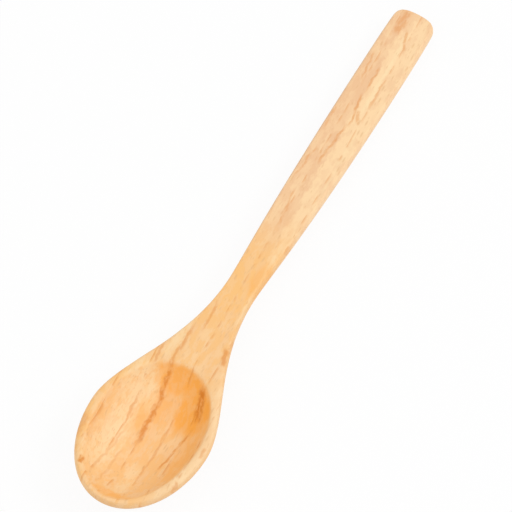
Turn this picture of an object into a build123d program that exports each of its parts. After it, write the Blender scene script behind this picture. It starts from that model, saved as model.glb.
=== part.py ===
from build123d import *
from math import atan2, degrees
import os

# A wooden spoon, carved from one piece. While it is shaped it lies along X, with the tip of its
# bowl at X = 0 and its flat top on Z = 0. Last of all it is laid down on its belly and its
# handle's end. All lengths are in millimetres.

length = 190.0

# The bowl, from the tip backwards
bowl_width = 38.1
bowl_place = 27.0  # the widest and deepest place
bowl_depth = 14.0  # flat top to the lowest point of the belly
rim_drop = 1.8  # flat top to the fullest line of the wall
rim_lean = 6.0  # how far above the flat top the wall would close
tip_drop = 4.2  # steep stretch of the belly's curve below the tip
belly_front = 15.0  # flat stretch of the belly's curve towards the tip
belly_back = 19.0  # flat stretch of the belly's curve towards the neck
flank_front = 13.3  # straight stretch of the flank's curve at the widest place
flank_back = 24.8  # straight stretch of the flank's curve before the neck

# The neck and the handle
neck_place = 80.0
neck_width = 9.6
neck_thickness = 8.2
neck_front = 24.0  # flat stretch of the underside's curve before the neck
neck_back = 6.7  # straight stretch of the side's curve after the neck
side_drop = 2.2  # flat top to the fullest line of the sides
side_lean = 4.0  # how far above the flat top the sides would close
handle_place = 165.0  # the widest place of the handle
handle_width = 14.5
handle_front = 56.5  # straight stretch of the side's curve before that place
end_width = 13.4
end_thickness = 6.6
end_round = 4.6  # length over which the sides close in at the end
end_roll = 3.6  # length over which the top and the underside close in at the end

# The wood left around the hollow of the bowl
rim_width = 2.85  # at each side, at the widest place
rim_front = 3.0  # at the tip
floor_thickness = 5.0  # under the deepest place

# The hollow
hollow_width = bowl_width - 2 * rim_width
hollow_front = bowl_place - rim_front  # deepest place to the rim at the tip
hollow_back = 22.0  # deepest place to the rim at the neck
hollow_depth = bowl_depth - floor_thickness
hollow_floor = 8.5  # flat stretch of the floor's curve
hollow_wall = 4.6  # steep stretch of the wall's curve
hollow_slant = 3.0  # how far that stretch leans inwards

# Softened edges
rim_inner_round = 0.9
rim_outer_round = 1.3

overrun = 5.0  # how far the cut for the hollow stands above the flat top

# How full the lower quarters of a cross section are: 0.55 is an ellipse and 1 a box
belly_fullness_share = 0.54
handle_fullness_share = 0.68

# Exponent of the curve that closes the handle's end, where 2 is an ellipse
end_squareness = 2.8

# Where the cross sections stand between the tip, the widest place, the neck and the end
nose_shares = (0.015, 0.06, 0.13, 0.24, 0.38, 0.55, 0.76, 1)
flank_shares = (0.08, 0.2, 0.34, 0.48, 0.62, 0.76, 0.88, 1)
handle_shares = (0.12, 0.3, 0.55, 0.8, 1)
end_shares = (0.3, 0.55, 0.75, 0.88, 0.96, 0.99)

halvings = 40  # steps of the search along a curve

end_start = length - end_round


def between(start, end, share):
    return start + (end - start) * share


def reach_at(curve, place):
    # How far a curve stands off the spoon's long axis at a place along it
    low, high = 0, 1
    for _ in range(halvings):
        middle = between(low, high, 1 / 2)
        if curve.position_at(middle).X < place:
            low = middle
        else:
            high = middle
    return curve.position_at(low).Y


def closing(place, stretch):
    # Falls from 1 to 0 over the last stretch of the handle
    into = max(0, (place - length + stretch) / stretch)
    return (1 - into**end_squareness) ** (1 / end_squareness)


# Half of the outline seen from above
with BuildLine() as flank:
    EllipticalCenterArc((bowl_place, 0), bowl_place, bowl_width / 2, 180, arc_size=-90)
    Bezier(
        (bowl_place, bowl_width / 2),
        (bowl_place + flank_front, bowl_width / 2),
        (neck_place - flank_back, neck_width / 2),
        (neck_place, neck_width / 2),
    )
    Bezier(
        (neck_place, neck_width / 2),
        (neck_place + neck_back, neck_width / 2),
        (handle_place - handle_front, handle_width / 2),
        (handle_place, handle_width / 2),
    )
    Bezier(
        (handle_place, handle_width / 2),
        (end_start, handle_width / 2),
        (length, end_width / 2),
    )
flank_curve = flank.wire()

# Depth of the underside below the flat top
with BuildLine() as underside:
    Bezier(
        (0, rim_drop),
        (0, rim_drop + tip_drop),
        (bowl_place - belly_front, bowl_depth),
        (bowl_place, bowl_depth),
    )
    Bezier(
        (bowl_place, bowl_depth),
        (bowl_place + belly_back, bowl_depth),
        (neck_place - neck_front, neck_thickness),
        (neck_place, neck_thickness),
    )
    Line((neck_place, neck_thickness), (length, end_thickness))
underside_curve = underside.wire()


def section_at(place):
    # One cross section, fullest at its waist. The part above the flat top is planed off later
    behind_bowl = min(1, max(0, (place - bowl_place) / (neck_place - bowl_place)))
    before_bowl = max(0, (bowl_place - place) / bowl_place)
    ease = behind_bowl**2 * (3 - 2 * behind_bowl)
    nose = (1 - before_bowl**2) ** (1 / 2)
    roll = closing(place, end_roll)
    half = reach_at(flank_curve, place) * closing(place, end_round)
    waist = between(rim_drop, side_drop, ease)
    rise = (waist + between(rim_lean, side_lean, ease)) * nose * roll
    fall = (reach_at(underside_curve, place) - waist) * roll
    full = between(belly_fullness_share, handle_fullness_share, ease)
    with BuildLine(Plane.YZ.offset(place)) as ring:
        EllipticalCenterArc((0, -waist), half, rise, 0, arc_size=90)
        EllipticalCenterArc((0, -waist), half, rise, 90, arc_size=90)
        Bezier(
            (-half, -waist),
            (-half, -waist - fall * full),
            (-half * full, -waist - fall),
            (0, -waist - fall),
        )
        Bezier(
            (0, -waist - fall),
            (half * full, -waist - fall),
            (half, -waist - fall * full),
            (half, -waist),
        )
    return Face(ring.wire())


def half_hollow(stretch, turn):
    # Half of the hollow's cut, turned as a round bowl and drawn out along the spoon
    with BuildPart() as cut:
        with BuildSketch(Plane.YZ):
            with BuildLine():
                Bezier(
                    (0, -hollow_depth),
                    (hollow_floor, -hollow_depth),
                    (hollow_width / 2 - hollow_slant, -hollow_wall),
                    (hollow_width / 2, 0),
                )
                Polyline(
                    (hollow_width / 2, 0),
                    (hollow_width / 2 + hollow_slant, overrun),
                    (0, overrun),
                    (0, -hollow_depth),
                )
            make_face()
        revolve(axis=Axis.Z, revolution_arc=turn)
        scale(by=(stretch / (hollow_width / 2), 1, 1))
    return cut.part


places = [bowl_place * share for share in nose_shares]
places += [between(bowl_place, neck_place, share) for share in flank_shares]
places += [between(neck_place, end_start, share) for share in handle_shares]
places += [between(end_start, length, share) for share in end_shares]

tip = Vertex(0, 0, -rim_drop)
end = Vertex(length, 0, -side_drop)
sections = [section_at(place) for place in places]
front_cut = half_hollow(hollow_front, 180)
back_cut = half_hollow(hollow_back, -180)

with BuildPart() as spoon:
    # The whole body is one skin from the tip through the neck to the handle's end
    loft(sections=[tip, *sections, end], clean=False)
    split(bisect_by=Plane.XY, keep=Keep.BOTTOM)
    with Locations((bowl_place, 0, 0)):
        add(front_cut, mode=Mode.SUBTRACT)
        add(back_cut, mode=Mode.SUBTRACT)
    flat_top = spoon.faces().filter_by(Plane.XY).sort_by(Axis.Z)[-1]
    fillet(flat_top.inner_wires()[0].edges(), rim_inner_round)
    flat_top = spoon.faces().filter_by(Plane.XY).sort_by(Axis.Z)[-1]
    fillet(flat_top.outer_wire().edges(), rim_outer_round)

# Laid down on the belly and the handle's end, with the origin under the middle of its box
rest_span = length - end_roll - bowl_place
rest_lean = degrees(atan2(bowl_depth - end_thickness, rest_span))
lying = spoon.part.rotate(Axis.Y, rest_lean)
box = lying.bounding_box()
lying = lying.translate((-box.center().X, -box.center().Y, -box.min.Z))
lying.label = "spoon"

os.makedirs("parts", exist_ok=True)
export_step(lying, "parts/spoon.step")
print("spoon", lying.bounding_box(), "lean", rest_lean)
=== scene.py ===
import math

import bmesh
import bpy
from mathutils import Matrix, Vector, noise


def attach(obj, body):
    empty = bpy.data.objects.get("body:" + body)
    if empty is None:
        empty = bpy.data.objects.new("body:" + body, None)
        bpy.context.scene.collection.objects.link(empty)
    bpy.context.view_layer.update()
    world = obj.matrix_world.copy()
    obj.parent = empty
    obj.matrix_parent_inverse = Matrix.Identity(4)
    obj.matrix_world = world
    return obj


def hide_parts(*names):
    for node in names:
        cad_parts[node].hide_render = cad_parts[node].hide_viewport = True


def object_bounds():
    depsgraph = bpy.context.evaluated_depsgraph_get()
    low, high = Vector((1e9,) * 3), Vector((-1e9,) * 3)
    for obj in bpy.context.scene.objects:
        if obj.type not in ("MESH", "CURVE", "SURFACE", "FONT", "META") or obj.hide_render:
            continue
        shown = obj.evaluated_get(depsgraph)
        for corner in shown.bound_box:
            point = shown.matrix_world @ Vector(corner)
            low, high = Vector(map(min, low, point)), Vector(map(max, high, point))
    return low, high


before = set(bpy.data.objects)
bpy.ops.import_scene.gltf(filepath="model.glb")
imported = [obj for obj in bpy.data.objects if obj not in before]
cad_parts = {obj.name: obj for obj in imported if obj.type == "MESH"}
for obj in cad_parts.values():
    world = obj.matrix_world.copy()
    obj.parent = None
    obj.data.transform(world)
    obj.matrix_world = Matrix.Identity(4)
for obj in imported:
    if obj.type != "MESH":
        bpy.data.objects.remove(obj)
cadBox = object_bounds()
print("frame loaded", [tuple(round(c, 4) for c in corner) for corner in cadBox])

mm = 0.001

# The camera stands where the photograph was taken from
cameraSize = {
    "turn": math.radians(60.0),  # from the picture's right to the spoon's length
    "height": math.radians(64.0),  # above the floor
    "distance": 0.9,
    "aside": -0.0032,
    "above": 0.00192,
    "lens": 211.2,
    "sensor": 36.0,
    "clipStart": 0.01,
    "clipEnd": 20.0,
}
skyward = Vector((0.0, 0.0, 1.0))
pictureRight = Vector((math.cos(cameraSize["turn"]), -math.sin(cameraSize["turn"]), 0.0))
awayOnFloor = Vector((math.sin(cameraSize["turn"]), math.cos(cameraSize["turn"]), 0.0))
toCamera = skyward * math.sin(cameraSize["height"]) - awayOnFloor * math.cos(cameraSize["height"])
pictureUp = toCamera.cross(pictureRight)
cameraPlace = (
    toCamera * cameraSize["distance"]
    + pictureRight * cameraSize["aside"]
    + pictureUp * cameraSize["above"]
)
camera = bpy.data.objects.new("camera", bpy.data.cameras.new("camera"))
camera.data.lens = cameraSize["lens"]
camera.data.sensor_width = cameraSize["sensor"]
camera.data.clip_start = cameraSize["clipStart"]
camera.data.clip_end = cameraSize["clipEnd"]
cameraAxes = Matrix((pictureRight, pictureUp, toCamera)).transposed()
camera.matrix_world = Matrix.Translation(cameraPlace) @ cameraAxes.to_4x4()
bpy.context.scene.collection.objects.link(camera)
bpy.context.scene.camera = camera
print("camera placed", tuple(round(c, 4) for c in cameraPlace))

# The carved body, in millimetres from the tip of the bowl, with its flat top at height 0
spoonSize = {
    "length": 190.0,
    "bowlPlace": 27.0,  # the widest place
    "bowlHalf": 19.05,
    "bowlDepth": 14.0,
    "rimDrop": 1.8,  # flat top to the fullest line of the wall
    "rimLean": 6.0,  # how far above the flat top the wall would close
    "tipDrop": 4.2,
    "bellyFront": 15.0,
    "bellyBack": 19.0,
    "flankFront": 13.3,
    "flankBack": 24.8,
    "bellyFullness": 0.54,  # 0.55 is an ellipse and 1 a box
    "neckPlace": 80.0,
    "neckHalf": 4.8,
    "neckThick": 8.2,
    "neckFront": 24.0,
    "neckBack": 6.7,
    "sideDrop": 2.2,  # flat top to the fullest line of the sides
    "sideLean": 4.0,  # how far above the flat top the sides would close
    "handlePlace": 165.0,  # the widest place of the handle
    "handleHalf": 7.25,
    "handleFront": 56.5,
    "handleFullness": 0.68,
    "endHalf": 6.7,
    "endThick": 6.6,
    "endRound": 4.3,  # length over which the sides close in at the end
    "endRoll": 3.6,  # length over which the top and the underside close in
    "endSquareness": 3.4,  # 2 is an ellipse
    "hollowHalf": 16.2,
    "hollowFront": 25.5,
    "hollowBack": 22.0,
    "hollowDepth": 9.0,
    "hollowFloor": 8.5,
    "hollowWall": 4.6,
    "hollowSlant": 3.0,
    "bend": 1.2,  # how far the handle has warped to the left over its length
    "bendStart": 60.0,
    "bendSpan": 130.0,
    "bendTurn": 0.0045,  # turns the bent spoon back in line, sideways per length
    "fit": 0.9975,  # keeps the body inside the CAD's box
    # Edges worn round
    "outerSoftness": 0.62,  # rounding of the outer edge of the top
    "innerSoftness": 0.36,  # rounding of the hollow's edge
    "outerShare": 0.9,  # the outer edge starts at this share of the half width
    "rimDepth": 2.5,
    "rimPasses": 2,
    "shoulderStartShare": 0.72,  # the hollow's edge melts away from here, to the neck
    "shoulderEnd": 56.0,
    "shoulderDepth": 5.0,
    "shoulderHalf": 12.0,
    "shoulderPasses": 14,
    # The unevenness that a knife leaves
    "waviness": 0.12,
    "waveLengths": (19.0, 7.0, 9.0),
    "waveSink": 0.5,  # so that few waves rise past the flat top
    "waveDepth": 9.5,  # the belly below this stays even
    "waveStart": 6.0,  # the waves grow over this length from the tip
    # How finely the body is divided
    "tipRings": 110,
    "bowlRings": 100,
    "bowlEnd": 57.0,
    "handleRings": 100,
    "endRings": 40,
    "lowerPoints": 36,
    "lowerSteps": 60,
    "upperPoints": 64,
    "upperSteps": 240,
    "hollowSteps": 200,
    "halvings": 36,  # steps of the search along a curve
    "leastStep": 1e-4,
    "mostPasses": 60,
}
size = spoonSize
passSpread = 0.5  # how much one pass of averaging spreads a point, in steps squared


def mixed(start, end, share):
    return start + (end - start) * share


def eased(share):
    share = min(1.0, max(0.0, share))
    return share * share * (3.0 - 2.0 * share)


def bezierPoint(points, share):
    while len(points) > 1:
        points = [
            tuple(mixed(a, b, share) for a, b in zip(first, second))
            for first, second in zip(points, points[1:])
        ]
    return points[0]


def curveAt(points, place):
    low, high = 0.0, 1.0
    for _ in range(size["halvings"]):
        middle = (low + high) / 2.0
        if bezierPoint(points, middle)[0] < place:
            low = middle
        else:
            high = middle
    return bezierPoint(points, low)[1]


endStart = size["length"] - size["endRound"]

# Half widths along the spoon, then depths of the underside, then the hollow's depth from its middle
flankCurve = [
    (size["bowlPlace"], size["bowlHalf"]),
    (size["bowlPlace"] + size["flankFront"], size["bowlHalf"]),
    (size["neckPlace"] - size["flankBack"], size["neckHalf"]),
    (size["neckPlace"], size["neckHalf"]),
]
sideCurve = [
    (size["neckPlace"], size["neckHalf"]),
    (size["neckPlace"] + size["neckBack"], size["neckHalf"]),
    (size["handlePlace"] - size["handleFront"], size["handleHalf"]),
    (size["handlePlace"], size["handleHalf"]),
]
endCurve = [
    (size["handlePlace"], size["handleHalf"]),
    (endStart, size["handleHalf"]),
    (size["length"], size["endHalf"]),
]
bellyFrontCurve = [
    (0.0, size["rimDrop"]),
    (0.0, size["rimDrop"] + size["tipDrop"]),
    (size["bowlPlace"] - size["bellyFront"], size["bowlDepth"]),
    (size["bowlPlace"], size["bowlDepth"]),
]
bellyBackCurve = [
    (size["bowlPlace"], size["bowlDepth"]),
    (size["bowlPlace"] + size["bellyBack"], size["bowlDepth"]),
    (size["neckPlace"] - size["neckFront"], size["neckThick"]),
    (size["neckPlace"], size["neckThick"]),
]
hollowCurve = [
    (0.0, size["hollowDepth"]),
    (size["hollowFloor"], size["hollowDepth"]),
    (size["hollowHalf"] - size["hollowSlant"], size["hollowWall"]),
    (size["hollowHalf"], 0.0),
]
hollowSteps = size["hollowSteps"]
hollowTable = [
    curveAt(hollowCurve, size["hollowHalf"] * step / hollowSteps)
    for step in range(hollowSteps + 1)
]


def outlineAt(place):
    if place < size["bowlPlace"]:
        before = (size["bowlPlace"] - place) / size["bowlPlace"]
        return size["bowlHalf"] * math.sqrt(max(0.0, 1.0 - before * before))
    if place < size["neckPlace"]:
        return curveAt(flankCurve, place)
    if place < size["handlePlace"]:
        return curveAt(sideCurve, place)
    return curveAt(endCurve, place)


def depthAt(place):
    if place < size["bowlPlace"]:
        return curveAt(bellyFrontCurve, place)
    if place < size["neckPlace"]:
        return curveAt(bellyBackCurve, place)
    share = (place - size["neckPlace"]) / (size["length"] - size["neckPlace"])
    return mixed(size["neckThick"], size["endThick"], share)


def closingAt(place, stretch):
    # Falls from 1 to 0 over the last stretch of the handle
    into = min(1.0, max(0.0, (place - size["length"] + stretch) / stretch))
    return (1.0 - into ** size["endSquareness"]) ** (1.0 / size["endSquareness"])


def hollowAt(place, across):
    stretch = size["hollowFront"] if place < size["bowlPlace"] else size["hollowBack"]
    reach = math.hypot((place - size["bowlPlace"]) / stretch, across / size["hollowHalf"])
    if reach >= 1.0:
        return 0.0
    index = int(reach * hollowSteps)
    return mixed(hollowTable[index], hollowTable[index + 1], reach * hollowSteps - index)


def spread(points, count):
    # Even steps along a run of points
    lengths = [0.0]
    for first, second in zip(points, points[1:]):
        lengths.append(lengths[-1] + math.dist(first, second))
    spaced = []
    index = 0
    for step in range(count + 1):
        wanted = lengths[-1] * step / count
        while index < len(points) - 2 and lengths[index + 1] < wanted:
            index += 1
        gap = lengths[index + 1] - lengths[index]
        share = (wanted - lengths[index]) / gap if gap > 0.0 else 0.0
        first, second = points[index], points[index + 1]
        spaced.append(tuple(mixed(a, b, share) for a, b in zip(first, second)))
    return spaced


def averaged(before, point, after):
    return tuple((a + 2.0 * b + c) / 4.0 for a, b, c in zip(before, point, after))


def softened(points, half):
    # Rounds the outer edge more than the hollow's edge, by averaging along the section
    step = max(size["leastStep"], math.dist(points[0], points[1]))
    outer = round((size["outerSoftness"] / step) ** 2 / passSpread)
    outer = min(size["mostPasses"], outer)
    inner = min(outer, round((size["innerSoftness"] / step) ** 2 / passSpread))
    outerStart = half * size["outerShare"]
    for turn in range(outer):
        fresh = list(points)
        for i in range(1, len(points) - 1):
            if turn < inner or points[i][0] > outerStart:
                fresh[i] = averaged(points[i - 1], points[i], points[i + 1])
        points = fresh
    return points


def halfSection(place):
    # From the lowest point round the flank to the middle of the top
    behindBowl = (place - size["bowlPlace"]) / (size["neckPlace"] - size["bowlPlace"])
    beforeBowl = max(0.0, (size["bowlPlace"] - place) / size["bowlPlace"])
    ease = eased(behindBowl)
    nose = math.sqrt(max(0.0, 1.0 - beforeBowl * beforeBowl))
    roll = closingAt(place, size["endRoll"])
    half = outlineAt(place) * closingAt(place, size["endRound"])
    waist = mixed(size["rimDrop"], size["sideDrop"], ease)
    rise = (waist + mixed(size["rimLean"], size["sideLean"], ease)) * nose * roll
    fall = (depthAt(place) - waist) * roll
    full = mixed(size["bellyFullness"], size["handleFullness"], ease)
    lowerCurve = [
        (0.0, -waist - fall),
        (half * full, -waist - fall),
        (half, -waist - fall * full),
        (half, -waist),
    ]
    lowerSteps = size["lowerSteps"]
    lower = [bezierPoint(lowerCurve, step / lowerSteps) for step in range(lowerSteps + 1)]
    upper = []
    for step in range(size["upperSteps"] + 1):
        angle = math.pi / 2.0 * step / size["upperSteps"]
        across = half * math.cos(angle)
        height = min(0.0, rise * math.sin(angle) - waist)
        upper.append((across, min(height, -hollowAt(place, across))))
    upper = softened(spread(upper, size["upperPoints"]), half)
    return spread(lower, size["lowerPoints"]) + upper[1:]


def ringPlaces():
    # Closest at the tip, round the bowl and at the handle's end
    tipRings, bowlRings = size["tipRings"], size["bowlRings"]
    handleRings, endRings = size["handleRings"], size["endRings"]
    bowlPlace, bowlEnd = size["bowlPlace"], size["bowlEnd"]
    quarter = math.pi / 2.0
    places = [bowlPlace * (1.0 - math.cos(quarter * k / tipRings)) for k in range(tipRings)]
    places += [mixed(bowlPlace, bowlEnd, k / bowlRings) for k in range(bowlRings)]
    handleSpan = endStart - bowlEnd
    slow = (bowlEnd - bowlPlace) / bowlRings * handleRings / handleSpan
    for k in range(handleRings):
        share = k / handleRings
        quick = share * share * (2.0 - share)
        places.append(bowlEnd + handleSpan * mixed(quick, share, slow))
    endShares = [math.sin(quarter * k / endRings) for k in range(endRings)]
    places += [endStart + size["endRound"] * share for share in endShares]
    return places + [size["length"]]


def melted(mesh, points, passes):
    for _ in range(passes):
        bmesh.ops.smooth_vert(
            mesh, verts=points, factor=0.5, use_axis_x=True, use_axis_y=True, use_axis_z=True
        )


def makeSpoon():
    # A sphere's rings become the cross sections, from the tip to the handle's end
    places = ringPlaces()
    last = len(places) - 1
    halfCount = size["lowerPoints"] + size["upperPoints"]
    around = 2 * halfCount
    mesh = bmesh.new()
    bmesh.ops.create_uvsphere(mesh, u_segments=around, v_segments=last, radius=1.0)
    sections = [halfSection(place) for place in places]
    for vertex in mesh.verts:
        ring = round(math.acos(max(-1.0, min(1.0, vertex.co.z))) / math.pi * last)
        turn = round(math.atan2(vertex.co.y, vertex.co.x) / math.tau * around) % around
        if ring == 0:
            vertex.co = Vector((0.0, 0.0, -size["rimDrop"]))
        elif ring == last:
            vertex.co = Vector((size["length"], 0.0, -size["sideDrop"]))
        else:
            side = 1.0 if turn <= halfCount else -1.0
            across, height = sections[ring][turn if turn <= halfCount else around - turn]
            vertex.co = Vector((places[ring], side * across, height))

    rim = [v for v in mesh.verts if v.co.z > -size["rimDepth"] and v.co.x < size["neckPlace"]]
    melted(mesh, rim, size["rimPasses"])
    shoulderStart = size["bowlPlace"] + size["hollowBack"] * size["shoulderStartShare"]
    shoulder = [
        v for v in mesh.verts
        if shoulderStart < v.co.x < size["shoulderEnd"]
        and v.co.z > -size["shoulderDepth"]
        and abs(v.co.y) < size["shoulderHalf"]
    ]
    melted(mesh, shoulder, size["shoulderPasses"])

    for vertex in mesh.verts:
        spot = [along / length for along, length in zip(vertex.co, size["waveLengths"])]
        wave = noise.noise(Vector(spot))
        if vertex.co.z > -size["waveDepth"]:
            grown = min(1.0, vertex.co.x / size["waveStart"])
            vertex.co.z -= size["waviness"] * (size["waveSink"] + wave) * grown
        past = max(0.0, vertex.co.x - size["bendStart"]) / size["bendSpan"]
        turned = size["bendTurn"] * (vertex.co.x - size["bowlPlace"])
        vertex.co.y += size["bend"] * past * past - turned
    return mesh


# Laid down on the belly and the handle's end, in the middle of the CAD's box
spoonMesh = makeSpoon()
restRise = size["bowlDepth"] - size["endThick"]
restLean = math.atan2(restRise, size["length"] - size["endRoll"] - size["bowlPlace"])
spoonMesh.transform(Matrix.Scale(mm * size["fit"], 4))
spoonMesh.transform(Matrix.Rotation(restLean, 4, "Y"))
low = [min(v.co[i] for v in spoonMesh.verts) for i in range(3)]
high = [max(v.co[i] for v in spoonMesh.verts) for i in range(3)]
middleShift = Vector((-(low[0] + high[0]) / 2.0, 0.0, cadBox[0][2] - low[2]))
spoonMesh.transform(Matrix.Translation(middleShift))
bmesh.ops.recalc_face_normals(spoonMesh, faces=spoonMesh.faces)
for face in spoonMesh.faces:
    face.smooth = True
spoonData = bpy.data.meshes.new("spoon_carved")
spoonMesh.to_mesh(spoonData)
spoonMesh.free()
spoon = bpy.data.objects.new("spoon_carved", spoonData)
bpy.context.scene.collection.objects.link(spoon)
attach(spoon, "root")
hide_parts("spoon")
print("spoon made", len(spoonData.vertices), "points")


def setInput(tree, socket, value):
    if isinstance(value, bpy.types.NodeSocket):
        tree.links.new(value, socket)
    else:
        socket.default_value = value


def addNode(tree, kind, inputs=None, **settings):
    node = tree.nodes.new(kind)
    for name, value in settings.items():
        setattr(node, name, value)
    for key, value in (inputs or {}).items():
        setInput(tree, node.inputs[key], value)
    return node


def maths(tree, operation, *values, clamped=False):
    inputs = dict(enumerate(values))
    return addNode(
        tree, "ShaderNodeMath", inputs, operation=operation, use_clamp=clamped
    ).outputs[0]


def times(tree, first, second):
    return maths(tree, "MULTIPLY", first, second)


def added(tree, value, factor, start, clamped=False):
    # start plus value times factor
    return maths(tree, "MULTIPLY_ADD", value, factor, start, clamped=clamped)


def stepped(tree, value, low, high, start=0.0, end=1.0):
    # A soft step from start to end while the value goes from low to high
    inputs = {"Value": value, "From Min": low, "From Max": high, "To Min": start, "To Max": end}
    node = addNode(tree, "ShaderNodeMapRange", inputs, interpolation_type="SMOOTHSTEP")
    return node.outputs["Result"]


def blended(tree, share, first, second):
    inputs = {0: share, 6: first, 7: second}  # the mix node's sockets for colours
    return addNode(tree, "ShaderNodeMix", inputs, data_type="RGBA").outputs[2]


def parted(tree, value):
    return addNode(tree, "ShaderNodeSeparateXYZ", {0: value}).outputs


def vectorMaths(tree, operation, *values):
    inputs = dict(enumerate(values))
    return addNode(tree, "ShaderNodeVectorMath", inputs, operation=operation).outputs


def stretched(tree, value, scale):
    return vectorMaths(tree, "MULTIPLY", value, scale)[0]


def cloudy(tree, value, scale, detail=2.0, roughness=0.5):
    inputs = {
        "Vector": stretched(tree, value, scale),
        "Scale": 1.0,
        "Detail": detail,
        "Roughness": roughness,
    }
    return addNode(tree, "ShaderNodeTexNoise", inputs).outputs["Fac"]


def swaying(tree, value, scale, detail=2.0, roughness=0.5):
    # The same clouds, from about -0.5 to 0.5
    return maths(tree, "SUBTRACT", cloudy(tree, value, scale, detail, roughness), 0.5)


def makeGroup(name, inputs, outputs):
    tree = bpy.data.node_groups.new(name, "ShaderNodeTree")
    for label, kind, value in inputs:
        socket = tree.interface.new_socket(label, in_out="INPUT", socket_type=kind)
        if value is not None:
            socket.default_value = value
    for label, kind in outputs:
        tree.interface.new_socket(label, in_out="OUTPUT", socket_type=kind)
    return tree, tree.nodes.new("NodeGroupInput").outputs, tree.nodes.new("NodeGroupOutput").inputs


def useGroup(tree, group, inputs):
    return addNode(tree, "ShaderNodeGroup", inputs, node_tree=group).outputs


number = "NodeSocketFloat"
vector = "NodeSocketVector"

# Object coordinates turned into millimetres along the grain, across the rings and up
grainShape = {
    "Lean": 0.054,  # radians from the spoon's length to the grain
    "Slant": 0.1,  # how far the rings lean over, per height
    "Sway": 1.0,
    "level": 10.0,  # the height at which the slant is nothing
    "slowScale": (0.022, 0.05, 0.05),
    "slowDetail": 1.0,
    "slowSway": 1.2,
    "quickScale": (0.11, 0.2, 0.2),
    "quickSway": 0.7,
}
perMetre = (1.0 / mm, 1.0 / mm, 1.0 / mm)
grainSpace, given, made = makeGroup(
    "grain_space",
    [("Position", vector, None)]
    + [(label, number, grainShape[label]) for label in ("Lean", "Slant", "Sway")],
    [("Grain", vector)],
)
position = stretched(grainSpace, given["Position"], perMetre)
turned = addNode(
    grainSpace,
    "ShaderNodeVectorRotate",
    {"Vector": position, "Angle": times(grainSpace, given["Lean"], -1.0)},
    rotation_type="Z_AXIS",
).outputs[0]
parts = parted(grainSpace, turned)
level = maths(grainSpace, "SUBTRACT", parts["Z"], grainShape["level"])
ring = maths(grainSpace, "SUBTRACT", parts["Y"], times(grainSpace, level, given["Slant"]))
slowSway = swaying(grainSpace, turned, grainShape["slowScale"], grainShape["slowDetail"])
quickSway = swaying(grainSpace, turned, grainShape["quickScale"])
sway = times(grainSpace, slowSway, grainShape["slowSway"])
sway = added(grainSpace, quickSway, grainShape["quickSway"], sway)
ring = added(grainSpace, sway, given["Sway"], ring)
joined = addNode(grainSpace, "ShaderNodeCombineXYZ", {0: parts["X"], 1: ring, 2: parts["Z"]})
grainSpace.links.new(joined.outputs[0], made["Grain"])

# Growth rings: a slow darkening inside each ring and a thin dark line where it ends
ringShape = {
    "Spacing": 6.1,
    "Start": 0.6,
    "Line Width": 0.16,  # as a share of the spacing
    "linePeak": 0.985,
    "breakScale": (0.26, 0.5, 0.3),
    "breaks": (0.44, 0.62),
}
growthRings, given, made = makeGroup(
    "growth_rings",
    [("Grain", vector, None)]
    + [(label, number, ringShape[label]) for label in ("Spacing", "Start", "Line Width")],
    [("Ripening", number), ("Line", number)],
)
parts = parted(growthRings, given["Grain"])
count = maths(growthRings, "SUBTRACT", parts["Y"], given["Start"])
count = maths(growthRings, "DIVIDE", count, given["Spacing"])
inside = maths(growthRings, "FRACT", count)
lineStart = maths(growthRings, "SUBTRACT", 1.0, given["Line Width"])
rising = stepped(growthRings, inside, lineStart, ringShape["linePeak"])
falling = stepped(growthRings, inside, ringShape["linePeak"], 1.0, 1.0, 0.0)
breaks = cloudy(growthRings, given["Grain"], ringShape["breakScale"])
breaks = stepped(growthRings, breaks, *ringShape["breaks"])
line = times(growthRings, times(growthRings, rising, falling), breaks)
growthRings.links.new(inside, made["Ripening"])
growthRings.links.new(line, made["Line"])

# Long fibres, as fine streaks and as a wide haze
fibreShape = {
    "streakScale": (0.07, 1.7, 1.7),
    "streakDetail": 4.0,
    "streakRoughness": 0.62,
    "hazeScale": (0.05, 0.22, 0.22),
    "hazeDetail": 3.0,
    "hazeRoughness": 0.55,
    "contrast": (0.3, 0.7),
}
fibreStreaks, given, made = makeGroup(
    "fibre_streaks", [("Grain", vector, None)], [("Streak", number), ("Haze", number)]
)
for name in ("streak", "haze"):
    fibre = cloudy(
        fibreStreaks,
        given["Grain"],
        fibreShape[name + "Scale"],
        fibreShape[name + "Detail"],
        fibreShape[name + "Roughness"],
    )
    fibre = stepped(fibreStreaks, fibre, *fibreShape["contrast"])
    fibreStreaks.links.new(fibre, made[name.capitalize()])

# Short spindle-shaped flecks, the wood's rays cut across
fleckShape = {
    "Amount": 0.5,
    "scale": (0.36, 1.5, 1.5),
    "edge": (0.12, 0.34),
}
rayFlecks, given, made = makeGroup(
    "ray_flecks",
    [("Grain", vector, None), ("Amount", number, fleckShape["Amount"])],
    [("Fleck", number)],
)
cells = addNode(
    rayFlecks,
    "ShaderNodeTexVoronoi",
    {"Vector": stretched(rayFlecks, given["Grain"], fleckShape["scale"]), "Scale": 1.0},
    feature="F1",
).outputs
drawn = addNode(rayFlecks, "ShaderNodeSeparateColor", {0: cells["Color"]}).outputs[0]
chosen = maths(rayFlecks, "LESS_THAN", drawn, given["Amount"])
spindle = stepped(rayFlecks, cells["Distance"], *fleckShape["edge"], 1.0, 0.0)
rayFlecks.links.new(times(rayFlecks, spindle, chosen), made["Fleck"])

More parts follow.
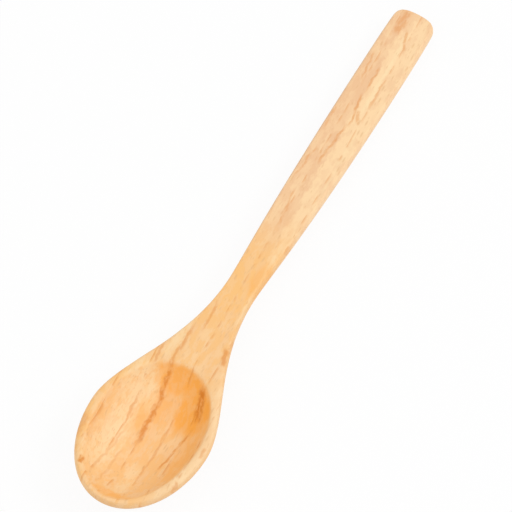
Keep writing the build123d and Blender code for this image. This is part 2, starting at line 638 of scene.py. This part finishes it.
# A deeper orange patch at one place: oil soaked in, and inside the hollow also painted shade and
# bounced light
patchShape = {
    "Edge": 0.4,
    "raggedScale": (90.0, 260.0, 200.0),
    "raggedDetail": 3.0,
    "ragged": 0.9,
}
soakAndShadePatch, given, made = makeGroup(
    "soak_and_shade_patch",
    [
        ("Position", vector, None),
        ("Centre", vector, (0.0, 0.0, 0.0)),
        ("Reach", vector, (0.01, 0.01, 0.01)),
        ("Edge", number, patchShape["Edge"]),
    ],
    [("Patch", number)],
)
offset = vectorMaths(soakAndShadePatch, "SUBTRACT", given["Position"], given["Centre"])[0]
offset = vectorMaths(soakAndShadePatch, "DIVIDE", offset, given["Reach"])[0]
distance = vectorMaths(soakAndShadePatch, "LENGTH", offset)["Value"]
ragged = swaying(
    soakAndShadePatch, given["Position"], patchShape["raggedScale"], patchShape["raggedDetail"]
)
distance = added(soakAndShadePatch, ragged, patchShape["ragged"], distance)
inner = maths(soakAndShadePatch, "SUBTRACT", 1.0, given["Edge"])
outer = maths(soakAndShadePatch, "ADD", 1.0, given["Edge"])
soakAndShadePatch.links.new(stepped(soakAndShadePatch, distance, inner, outer, 1.0, 0.0), made["Patch"])

# One mark along the grain, between two places and a little wavy
streakShape = {
    "wanderScale": (0.34, 0.1, 0.1),
    "wanderDetail": 3.0,
    "wander": 1.9,
    "raggedScale": (0.55, 1.1, 1.1),
    "ragged": 0.5,
    "sides": (0.38, 0.82),
    "ends": (0.6, 1.1),
    "unevenScale": (0.42, 0.9, 0.9),
    "uneven": (0.34, 0.52, 0.4, 1.0),
}
grainStreak, given, made = makeGroup(
    "grain_streak",
    [
        ("Grain", vector, None),
        ("Place", number, 0.0),
        ("Tilt", number, 0.0),
        ("Start", number, 0.0),
        ("Stop", number, 10.0),
        ("Width", number, 1.0),
    ],
    [("Mark", number)],
)
parts = parted(grainStreak, given["Grain"])
middle = times(grainStreak, maths(grainStreak, "ADD", given["Start"], given["Stop"]), 0.5)
halfSpan = times(grainStreak, maths(grainStreak, "SUBTRACT", given["Stop"], given["Start"]), 0.5)
along = maths(grainStreak, "SUBTRACT", parts["X"], middle)
wander = swaying(
    grainStreak, given["Grain"], streakShape["wanderScale"], streakShape["wanderDetail"]
)
line = added(grainStreak, along, given["Tilt"], given["Place"])
line = added(grainStreak, wander, streakShape["wander"], line)
aside = maths(grainStreak, "ABSOLUTE", maths(grainStreak, "SUBTRACT", parts["Y"], line))
aside = maths(grainStreak, "DIVIDE", aside, given["Width"])
ragged = cloudy(grainStreak, given["Grain"], streakShape["raggedScale"])
body = added(grainStreak, ragged, streakShape["ragged"], aside)
body = stepped(grainStreak, body, *streakShape["sides"], 1.0, 0.0)
ends = maths(grainStreak, "DIVIDE", maths(grainStreak, "ABSOLUTE", along), halfSpan)
ends = stepped(grainStreak, ends, *streakShape["ends"], 1.0, 0.0)
uneven = cloudy(grainStreak, given["Grain"], streakShape["unevenScale"])
uneven = stepped(grainStreak, uneven, *streakShape["uneven"])
body = times(grainStreak, times(grainStreak, body, ends), uneven)
grainStreak.links.new(body, made["Mark"])

woodColours = {
    "cream": (0.99, 0.692, 0.39, 1.0),
    # pale grain streaks, and the painted highlight on the right rim's top
    "pale": (1.0, 0.765, 0.445, 1.0),
    "tan": (0.89, 0.55, 0.3, 1.0),
    "honey": (0.97, 0.55, 0.2, 1.0),
    "line": (0.74, 0.235, 0.012, 1.0),
    "fleck": (0.78, 0.45, 0.2, 1.0),
    # soaked oil, and in the hollow also its painted shade and bounced light
    "soakAndShade": (0.99, 0.43, 0.065, 1.0),
    "endGrain": (0.74, 0.43, 0.2, 1.0),
}

# Marks that can be told apart in the photograph: place across the rings, tilt, start, stop,
# width, strength, with lengths in millimetres
grainAndShadeMarks = [
    (6.7, 0.0, -73.0, -45.0, 1.9, 0.78),
    (6.9, 0.0, -50.0, -32.0, 1.2, 0.5),
    (11.6, 0.0, -49.5, -42.0, 1.0, 0.45),
    (12.7, 0.0, -70.0, -58.0, 0.9, 0.45),
    (12.0, -0.05, -88.0, -68.0, 0.9, 0.3),
    (9.4, 0.0, -90.0, -74.0, 0.9, 0.25),
    (-5.0, -0.2, -77.5, -61.0, 1.1, 0.65),
    # a dark grain streak on the hollow's steep right wall, widened and deepened into painted shade
    (-6.0, 0.21, -59.5, -49.0, 3.0, 1.0),
    # painted shade: the edge where the hollow's lower right wall turns away from the light, drawn
    # as a faint dark line
    (0.3, 0.0, -84.0, -63.0, 1.0, 0.35),
    (3.7, 0.0, -34.0, -22.0, 1.0, 0.45),
    (-5.8, 0.25, -41.5, -35.5, 2.2, 0.6),
    (-12.1, 0.0, -83.5, -79.5, 1.4, 0.4),
    (-14.2, 0.0, -70.5, -66.5, 1.4, 0.4),
    (15.7, 0.0, -87.2, -84.6, 1.6, 0.8),
    (20.8, 0.0, -80.5, -72.0, 3.2, 0.34),
    (-2.1, 0.05, 61.0, 72.0, 1.0, 0.42),
    (-2.4, 0.12, 48.0, 61.0, 1.1, 0.5),
    (-4.0, 0.3, 50.0, 55.0, 1.8, 0.4),
    (-1.5, -0.1, 32.0, 49.0, 1.1, 0.45),
    (-5.5, 0.0, 56.0, 69.0, 0.9, 0.35),
    (1.5, 0.1, 65.0, 77.0, 0.9, 0.35),
    (2.8, -0.08, 25.0, 38.0, 0.9, 0.35),
    (-5.1, 0.3, 79.0, 88.0, 1.2, 0.4),
    (-1.2, 0.0, 84.5, 95.0, 3.4, 0.42),
    (3.4, 0.0, 44.0, 54.0, 1.0, 0.32),
    (0.8, 0.1, 8.0, 22.0, 1.0, 0.4),
]

# Paler streaks, given in the same way
paleMarks = [
    (-4.6, 0.0, 52.0, 88.0, 1.6, 0.7),
    (-6.3, 0.0, 20.0, 50.0, 1.8, 0.4),
    (-4.0, 0.0, -30.0, 5.0, 1.5, 0.4),
    (13.5, 0.0, -88.0, -46.0, 10.0, 0.6),
    (2.5, 0.0, -92.0, -76.0, 5.0, 0.35),
    (-10.0, 0.05, -44.0, -34.0, 2.4, 0.4),
    (9.0, 0.0, -47.0, -28.0, 5.0, 0.5),
    (9.5, 0.0, -62.0, -48.0, 5.0, 0.7),
]

# Where oil has soaked in, in the hollow and at the neck, with painted shade and bounced light on
# the hollow's walls folded into the hollow's patches: centre and reach in metres, strength
soakAndShadePlaces = [
    ((-0.0495, 0.0020, 0.011), (0.0052, 0.0055, 0.02), 0.85),
    ((-0.0488, -0.0045, 0.011), (0.0046, 0.0055, 0.02), 1.0),
    ((-0.0560, -0.0105, 0.010), (0.0075, 0.0030, 0.02), 1.0),
    ((-0.0550, -0.0070, 0.009), (0.0080, 0.0045, 0.02), 0.95),
    ((-0.0560, 0.0010, 0.008), (0.0080, 0.0045, 0.02), 0.4),
    ((-0.0670, -0.0125, 0.010), (0.0140, 0.0028, 0.02), 0.45),
    ((-0.0918, -0.0024, 0.010), (0.0019, 0.0080, 0.02), 0.6),
    ((-0.0640, 0.0060, 0.006), (0.0060, 0.0022, 0.02), 0.4),
]
neckPlaces = [
    ((-0.0110, -0.0040, 0.012), (0.0065, 0.0022, 0.01), 0.4),
]

# The hollow's edge as the colours see it, in metres
hollowMask = {"deepest": -0.0678, "front": 0.0258, "back": 0.0224, "half": 0.0165}

# How much each effect counts, and from where to where in the grain's millimetres it grows
beechLook = {
    "topSide": (-0.1, 0.3),
    "onHandle": (-22.0, 8.0),
    "edgeScale": (0.24, 0.3, 0.3),
    "edgeWander": 5.0,
    "paleSide": (-2.6, -1.9),
    "mottleScale": (0.19, 0.42, 0.42),
    "mottleDetail": 3.0,
    "mottleRoughness": 0.65,
    "mottle": (0.4, 0.6),
    "cloudScale": (0.07, 0.13, 0.13),
    "clouds": (0.35, 0.65),
    "dashScale": (0.6, 0.55, 0.55),
    "dashAmount": 0.3,
    "oiled": (-18.0, 22.0, 0.66, 0.0),
    "oiledMottle": (0.62, 1.22),
    "soakAndShadeMottle": (0.75, 1.0),
    "hollowEdge": (0.93, 1.0),
    "rim": (-50.0, -36.0),
    "leftRimBounce": (9.0, 14.0),
    "rightRim": (-12.0, -3.0),
    "rimFacing": (0.0, 0.8),
    "rimHighlight": (-78.0, -52.0, 0.42, 0.22),
    "neckStart": (-34.0, -16.0),
    "neckEnd": (-8.0, 12.0),
    "ringLine": (-30.0, 0.0, 0.5, 0.35),
    "cutAcross": (0.75, 0.98),
    "endGrainShare": 0.4,
    "fleckShare": 0.38,
    "dashShare": 0.48,
    "roughness": 0.46,
    "bumpStrength": 0.35,
    "bumpDistance": 0.00008,
    # Shares that are added up to the tan of the wood, to its honey of oil, to its roughness
    # and to its relief
    "tanRipening": 0.18,
    "tanClouds": 0.36,
    "tanStreak": 0.2,
    "tanMottle": 0.5,
    "tanHaze": 0.15,
    "tanHandle": 0.12,
    "tanPaleSide": -0.55,
    "honeyRimHighlight": -0.5,
    "honeyLeftRimBounce": 0.12,
    "honeyNeck": 0.3,
    "roughStreak": 0.12,
    "roughMarks": 0.1,
    "reliefStreak": -0.6,
    "reliefFleck": -0.5,
    "reliefMarks": -0.6,
}
look = beechLook

wood = bpy.data.materials.new("oiled_beech")
wood.use_nodes = True
tree = wood.node_tree
shader = tree.nodes["Principled BSDF"]
spoonSpace = addNode(tree, "ShaderNodeTexCoord").outputs
place = spoonSpace["Object"]
facing = parted(tree, spoonSpace["Normal"])
topSide = stepped(tree, facing["Z"], *look["topSide"])

grain = useGroup(tree, grainSpace, {"Position": place})["Grain"]
rings = useGroup(tree, growthRings, {"Grain": grain})
fibres = useGroup(tree, fibreStreaks, {"Grain": grain})
fleck = useGroup(tree, rayFlecks, {"Grain": grain})["Fleck"]
dashGrain = stretched(tree, grain, look["dashScale"])
dashes = useGroup(tree, rayFlecks, {"Grain": dashGrain, "Amount": look["dashAmount"]})["Fleck"]
grainParts = parted(tree, grain)


def alongGrain(*step):
    return stepped(tree, grainParts["X"], *step)


def acrossGrain(*step):
    return stepped(tree, grainParts["Y"], *step)


def marksOf(rows, share):
    # The strongest of the marks and of what is there already
    for across, tilt, start, stop, width, strength in rows:
        inputs = {
            "Grain": grain,
            "Place": across,
            "Tilt": tilt,
            "Start": start,
            "Stop": stop,
            "Width": width,
        }
        mark = useGroup(tree, grainStreak, inputs)["Mark"]
        share = maths(tree, "MAXIMUM", share, times(tree, mark, strength))
    return share


def patchesOf(rows, share):
    for centre, reach, strength in rows:
        inputs = {"Position": place, "Centre": centre, "Reach": reach}
        patch = useGroup(tree, soakAndShadePatch, inputs)["Patch"]
        share = maths(tree, "MAXIMUM", share, times(tree, patch, strength))
    return share


# The handle's board is paler on one side of a wavering ring
onHandle = alongGrain(*look["onHandle"])
mottleKind = (look["mottleDetail"], look["mottleRoughness"])
edgeWave = swaying(tree, grain, look["edgeScale"], *mottleKind)
boardEdge = added(tree, edgeWave, look["edgeWander"], grainParts["Y"])
paleSide = stepped(tree, boardEdge, *look["paleSide"], 1.0, 0.0)
mottle = cloudy(tree, grain, look["mottleScale"], *mottleKind)
mottle = stepped(tree, mottle, *look["mottle"])
clouds = stepped(tree, cloudy(tree, grain, look["cloudScale"]), *look["clouds"])

tanShare = times(tree, clouds, look["tanClouds"])
tanShare = added(tree, rings["Ripening"], look["tanRipening"], tanShare)
tanShare = added(tree, fibres["Streak"], look["tanStreak"], tanShare)
tanShare = added(tree, mottle, look["tanMottle"], tanShare)
tanShare = added(tree, fibres["Haze"], look["tanHaze"], tanShare)
tanShare = added(tree, onHandle, look["tanHandle"], tanShare)
paleSide = times(tree, paleSide, onHandle)
tanShare = added(tree, paleSide, look["tanPaleSide"], tanShare, clamped=True)
colour = blended(tree, tanShare, woodColours["cream"], woodColours["tan"])

# Where the hollow ends, and the rim around it; the rim's upward-facing top at its right gets a
# painted highlight
placeParts = parted(tree, place)
alongHollow = maths(tree, "SUBTRACT", placeParts["X"], hollowMask["deepest"])
towardTip = maths(tree, "DIVIDE", alongHollow, -hollowMask["front"])
towardNeck = maths(tree, "DIVIDE", alongHollow, hollowMask["back"])
hollowPlace = addNode(
    tree,
    "ShaderNodeCombineXYZ",
    {
        0: maths(tree, "MAXIMUM", towardTip, towardNeck),
        1: maths(tree, "DIVIDE", placeParts["Y"], hollowMask["half"]),
    },
).outputs[0]
hollowReach = vectorMaths(tree, "LENGTH", hollowPlace)["Value"]
inHollow = stepped(tree, hollowReach, *look["hollowEdge"], 1.0, 0.0)
onRim = maths(tree, "SUBTRACT", 1.0, inHollow)
onRim = times(tree, onRim, alongGrain(*look["rim"], 1.0, 0.0))
# The left rim, which gets painted bounced light
leftRimBounce = times(tree, onRim, acrossGrain(*look["leftRimBounce"]))
onRim = times(tree, onRim, acrossGrain(*look["rightRim"], 1.0, 0.0))
onRim = times(tree, onRim, stepped(tree, facing["Z"], *look["rimFacing"]))

# The bowl and the neck are more deeply oiled than the handle, and the right rim's top has less of
# it, for its painted highlight
oiled = alongGrain(*look["oiled"])
oiled = times(tree, oiled, stepped(tree, mottle, 0.0, 1.0, *look["oiledMottle"]))
oiled = times(tree, oiled, added(tree, onRim, look["honeyRimHighlight"], 1.0))
# More honey on the left rim: painted bounced light, matching the hollow beside it
oiled = added(tree, leftRimBounce, look["honeyLeftRimBounce"], oiled)
atNeck = times(tree, alongGrain(*look["neckStart"]), alongGrain(*look["neckEnd"], 1.0, 0.0))
oiled = added(tree, atNeck, look["honeyNeck"], oiled, clamped=True)
colour = blended(tree, oiled, colour, woodColours["honey"])

# Pale grain streaks, and the painted highlight on the right rim's top
paleAndHighlightShare = marksOf(paleMarks, times(tree, onRim, alongGrain(*look["rimHighlight"])))
colour = blended(tree, times(tree, paleAndHighlightShare, topSide), colour, woodColours["pale"])
fleckShare = times(tree, fleck, look["fleckShare"])
dashShare = times(tree, dashes, look["dashShare"])
fleckShare = maths(tree, "MAXIMUM", fleckShare, dashShare)
colour = blended(tree, fleckShare, colour, woodColours["fleck"])

# Deep orange on the hollow's walls and at its tip end: soaked oil together with painted shade and
# bounced light; at the neck, soaked oil
soakAndShade = patchesOf(soakAndShadePlaces, 0.0)
soakAndShade = times(tree, soakAndShade, stepped(tree, mottle, 0.0, 1.0, *look["soakAndShadeMottle"]))
soakAndShade = patchesOf(neckPlaces, times(tree, soakAndShade, inHollow))
colour = blended(tree, soakAndShade, colour, woodColours["soakAndShade"])

lineShare = times(tree, rings["Line"], alongGrain(*look["ringLine"]))
# Dark grain marks and ring lines; two of the marks are painted shade on the hollow's right side
marks = times(tree, marksOf(grainAndShadeMarks, 0.0), topSide)
marks = maths(tree, "MAXIMUM", marks, lineShare)
colour = blended(tree, marks, colour, woodColours["line"])
cutAcross = maths(tree, "ABSOLUTE", facing["X"])
cutAcross = stepped(tree, cutAcross, *look["cutAcross"])
cutAcross = times(tree, cutAcross, look["endGrainShare"])
colour = blended(tree, cutAcross, colour, woodColours["endGrain"])
tree.links.new(colour, shader.inputs["Base Color"])

roughness = added(tree, fibres["Streak"], look["roughStreak"], look["roughness"])
roughness = added(tree, marks, look["roughMarks"], roughness)
tree.links.new(roughness, shader.inputs["Roughness"])
relief = times(tree, fibres["Streak"], look["reliefStreak"])
relief = added(tree, fleck, look["reliefFleck"], relief)
relief = added(tree, marks, look["reliefMarks"], relief)
bump = addNode(
    tree,
    "ShaderNodeBump",
    {
        "Strength": look["bumpStrength"],
        "Distance": look["bumpDistance"],
        "Height": relief,
    },
)
tree.links.new(bump.outputs[0], shader.inputs["Normal"])
spoonData.materials.append(wood)
print("wood made", len(tree.nodes), "nodes")

# White paper that the camera sees a little brighter than the light makes it
paperLook = {
    "half": 1.5,
    "colour": (0.92, 0.92, 0.92, 1.0),
    "roughness": 0.9,
    "glow": (1.0, 1.0, 1.0, 1.0),
    "glowShare": 0.92,
}
floorData = bpy.data.meshes.new("floor")
floorMesh = bmesh.new()
bmesh.ops.create_grid(floorMesh, x_segments=1, y_segments=1, size=paperLook["half"])
floorMesh.to_mesh(floorData)
floorMesh.free()
floor = bpy.data.objects.new("floor", floorData)
bpy.context.scene.collection.objects.link(floor)

paper = bpy.data.materials.new("white_floor")
paper.use_nodes = True
tree = paper.node_tree
shader = tree.nodes["Principled BSDF"]
shader.inputs["Base Color"].default_value = paperLook["colour"]
shader.inputs["Roughness"].default_value = paperLook["roughness"]
rays = addNode(tree, "ShaderNodeLightPath").outputs
seen = maths(tree, "MAXIMUM", rays["Is Glossy Ray"], rays["Is Transmission Ray"])
seen = maths(tree, "MAXIMUM", rays["Is Camera Ray"], seen)
glow = addNode(tree, "ShaderNodeEmission", {"Color": paperLook["glow"]}).outputs[0]
mixer = addNode(
    tree,
    "ShaderNodeMixShader",
    {0: times(tree, seen, paperLook["glowShare"]), 1: shader.outputs[0], 2: glow},
)
tree.links.new(mixer.outputs[0], tree.nodes["Material Output"].inputs["Surface"])
floorData.materials.append(paper)

studioLook = {
    "colour": (1.0, 1.0, 1.0, 1.0),
    "strength": 0.72,
    "cameraExtra": 0.28,  # only for what the camera sees
}
world = bpy.data.worlds.new("studio")
world.use_nodes = True
tree = world.node_tree
background = tree.nodes["Background"].inputs
background["Color"].default_value = studioLook["colour"]
rays = addNode(tree, "ShaderNodeLightPath").outputs
strength = added(tree, rays["Is Camera Ray"], studioLook["cameraExtra"], studioLook["strength"])
tree.links.new(strength, background["Strength"])
bpy.context.scene.world = world

lightSize = {
    "key": {"right": 0.85, "away": 0.1, "up": 0.95, "size": 0.5, "power": 4.4},
    "fill": {"right": -0.55, "away": -0.45, "up": 0.9, "size": 0.8, "power": 1.8},
}
for name, values in lightSize.items():
    data = bpy.data.lights.new(name + "_light", "AREA")
    data.shape = "SQUARE"
    data.size = values["size"]
    data.energy = values["power"]
    light = bpy.data.objects.new(name + "_light", data)
    spot = (
        pictureRight * values["right"] + awayOnFloor * values["away"] + skyward * values["up"]
    )
    aim = (-spot).to_track_quat("-Z", "Y")
    light.matrix_world = Matrix.Translation(spot) @ aim.to_matrix().to_4x4()
    bpy.context.scene.collection.objects.link(light)
bpy.context.scene.view_settings.view_transform = "Standard"
print("stage and light made")
